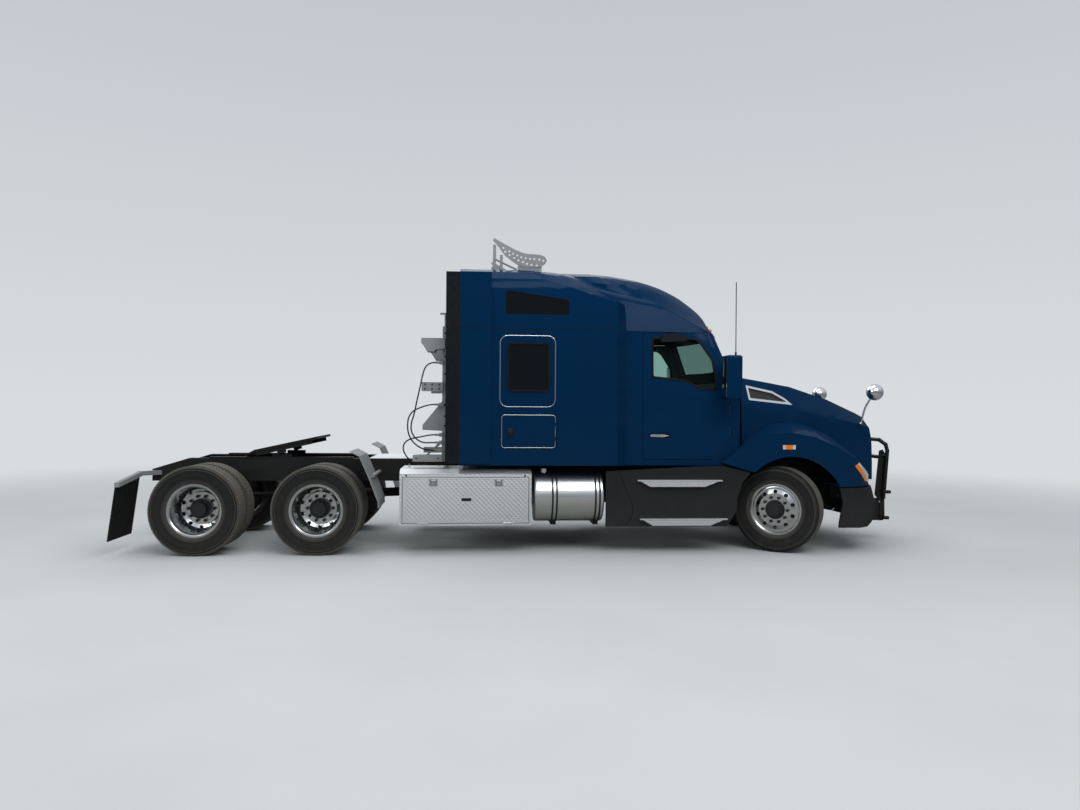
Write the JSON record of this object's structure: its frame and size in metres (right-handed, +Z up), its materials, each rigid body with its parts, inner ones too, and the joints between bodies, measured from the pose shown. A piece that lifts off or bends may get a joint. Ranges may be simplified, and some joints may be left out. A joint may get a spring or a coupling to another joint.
{
  "type": "semi truck tractor unit",
  "caption": "Sleeper-cab road tractor with bonnet, tandem drive axles, fifth wheel, rear equipment rack and roof tray.",
  "frame": {"origin": "on the ground under the middle of the truck's overall box", "axes": "+X forward, +Y to the truck's left, +Z up"},
  "size_m": [9.262, 2.98, 3.668],
  "materials": {
    "frame_paint": "black chassis paint, dusty",
    "body_paint": "metallic blue, clear coated",
    "tinted_glass": "tinted safety glass",
    "edge_rubber": "black extruded rubber",
    "fairing_plastic": "dark grey moulded plastic",
    "tank_aluminium": "brushed aluminium",
    "tread_plate": "bright diamond tread plate",
    "bracket_paint": "light grey paint on steel plate",
    "cast_iron": "painted castings",
    "trim_fabric": "grey cab trim",
    "chrome": "chrome plate",
    "guard_paint": "black powder coat",
    "lamp_lens": "clear moulded lens",
    "hose_rubber": "black air hose",
    "polished_aluminium": "polished forged aluminium",
    "tyre_rubber": "tyre rubber"
  },
  "bodies": {
    "chassis": {"frame": "frame_paint", "cab_shell": "body_paint", "windshield": "tinted_glass", "sleeper_shell": "body_paint", "sleeper_glass": "tinted_glass", "roof_cap": "body_paint", "side_extenders": "body_paint", "extender_edges": "edge_rubber", "bumper": "fairing_plastic", "fuel_tanks": "tank_aluminium", "tank_straps": "frame_paint", "tool_boxes": "tread_plate", "side_fairings": "fairing_plastic", "steps": "tread_plate", "quarter_fenders": "bracket_paint", "mud_flaps": "edge_rubber", "mud_flap_arms": "bracket_paint", "rear_rack": "bracket_paint", "roof_tray": "bracket_paint", "rear_suspension": "cast_iron", "drive_axles": "cast_iron", "front_axle": "cast_iron", "engine": "cast_iron", "cab_interior": "trim_fabric", "fifth_wheel_base": "frame_paint", "air_hose_upper": "hose_rubber", "air_hose_middle": "hose_rubber", "air_hose_lower": "hose_rubber"},
    "hood": {"hood": "body_paint", "grille": "chrome", "hood_mesh": "guard_paint", "lamps": "lamp_lens", "hood_mirrors": "chrome"},
    "grille_guard": {"grille_guard": "guard_paint"},
    "fifth_wheel": {"fifth_wheel_plate": "frame_paint"},
    "tie_rod": {"tie_rod": "cast_iron"},
    "door_left": {"door_left": "body_paint", "door_glass_left": "tinted_glass", "door_mirror_left": "body_paint"},
    "locker_door_left": {"locker_door_left": "body_paint"},
    "tool_box_door_left": {"tool_box_door_left": "tread_plate"},
    "knuckle_left": {"knuckle_left": "cast_iron"},
    "steer_wheel_left": {"steer_wheel_left": "polished_aluminium", "steer_tyre_left": "tyre_rubber"},
    "drive_wheel_forward_left": {"drive_wheel_forward_left": "polished_aluminium", "drive_tyres_forward_left": "tyre_rubber"},
    "drive_wheel_rear_left": {"drive_wheel_rear_left": "polished_aluminium", "drive_tyres_rear_left": "tyre_rubber"},
    "door_right": {"door_right": "body_paint", "door_glass_right": "tinted_glass", "door_mirror_right": "body_paint"},
    "locker_door_right": {"locker_door_right": "body_paint"},
    "tool_box_door_right": {"tool_box_door_right": "tread_plate"},
    "knuckle_right": {"knuckle_right": "cast_iron"},
    "steer_wheel_right": {"steer_wheel_right": "polished_aluminium", "steer_tyre_right": "tyre_rubber"},
    "drive_wheel_forward_right": {"drive_wheel_forward_right": "polished_aluminium", "drive_tyres_forward_right": "tyre_rubber"},
    "drive_wheel_rear_right": {"drive_wheel_rear_right": "polished_aluminium", "drive_tyres_rear_right": "tyre_rubber"}
  },
  "joints": [
    {"name": "hood_tilt", "type": "hinge", "parent": "chassis", "child": "hood", "pos_m": [4.311, 0, 0.803], "axis": [0, 1, 0], "range_deg": [0, 70]},
    {"name": "guard_fold", "type": "hinge", "parent": "chassis", "child": "grille_guard", "pos_m": [4.531, 0, 0.305], "axis": [0, 1, 0], "range_deg": [0, 95]},
    {"name": "fifth_wheel_tilt", "type": "hinge", "parent": "chassis", "child": "fifth_wheel", "pos_m": [-2.959, 0, 1.13], "axis": [0, 1, 0], "range_deg": [0, 27.5]},
    {"name": "steering_right", "type": "hinge", "parent": "chassis", "child": "knuckle_right", "pos_m": [3.041, -0.89, 0.5], "axis": [0, 0, 1], "range_deg": [-5, 75]},
    {"name": "steer_wheel_right_spin", "type": "hinge", "parent": "knuckle_right", "child": "steer_wheel_right", "pos_m": [2.93489, -1.04154, 0.5], "axis": [0.5736, 0.8192, 0], "continuous": true},
    {"name": "drive_wheel_forward_right_spin", "type": "hinge", "parent": "chassis", "child": "drive_wheel_forward_right", "pos_m": [-2.3945, -0.905, 0.5], "axis": [0, 1, 0], "continuous": true},
    {"name": "drive_wheel_rear_right_spin", "type": "hinge", "parent": "chassis", "child": "drive_wheel_rear_right", "pos_m": [-3.7155, -0.905, 0.5], "axis": [0, 1, 0], "continuous": true},
    {"name": "door_right_swing", "type": "hinge", "parent": "chassis", "child": "door_right", "pos_m": [2.329, -1.119, 1.53], "axis": [0, 0, 1], "range_deg": [0, 70]},
    {"name": "locker_door_right_swing", "type": "hinge", "parent": "chassis", "child": "locker_door_right", "pos_m": [0.284, -1.223, 1.3975], "axis": [0, 0, 1], "range_deg": [0, 100]},
    {"name": "tool_box_door_right_drop", "type": "hinge", "parent": "chassis", "child": "tool_box_door_right", "pos_m": [-0.7325, -1.222, 0.362], "axis": [1, 0, 0], "range_deg": [0, 95]},
    {"name": "steering_left", "type": "hinge", "parent": "chassis", "child": "knuckle_left", "pos_m": [3.041, 0.89, 0.5], "axis": [0, 0, 1], "range_deg": [-5, 75]},
    {"name": "steer_wheel_left_spin", "type": "hinge", "parent": "knuckle_left", "child": "steer_wheel_left", "pos_m": [3.14711, 1.04154, 0.5], "axis": [0.5736, 0.8192, 0], "continuous": true},
    {"name": "drive_wheel_forward_left_spin", "type": "hinge", "parent": "chassis", "child": "drive_wheel_forward_left", "pos_m": [-2.3945, 0.905, 0.5], "axis": [0, 1, 0], "continuous": true},
    {"name": "drive_wheel_rear_left_spin", "type": "hinge", "parent": "chassis", "child": "drive_wheel_rear_left", "pos_m": [-3.7155, 0.905, 0.5], "axis": [0, 1, 0], "continuous": true},
    {"name": "door_left_swing", "type": "hinge", "parent": "chassis", "child": "door_left", "pos_m": [2.329, 1.119, 1.53], "axis": [0, 0, -1], "range_deg": [0, 70]},
    {"name": "locker_door_left_swing", "type": "hinge", "parent": "chassis", "child": "locker_door_left", "pos_m": [0.284, 1.223, 1.3975], "axis": [0, 0, -1], "range_deg": [0, 100]},
    {"name": "tool_box_door_left_drop", "type": "hinge", "parent": "chassis", "child": "tool_box_door_left", "pos_m": [-0.7325, 1.222, 0.362], "axis": [-1, 0, 0], "range_deg": [0, 95]},
    {"name": "tie_rod_swing", "type": "hinge", "parent": "knuckle_left", "child": "tie_rod", "pos_m": [2.86898, 1.01045, 0.345], "axis": [0, 0, 1], "range_deg": [-75, 5]}
  ],
  "couplings": [
    {"joint": "guard_fold", "follows": "hood_tilt", "ratio": 1.3571},
    {"joint": "steering_left", "follows": "steering_right", "ratio": 1},
    {"joint": "tie_rod_swing", "follows": "steering_right", "ratio": -1}
  ]
}
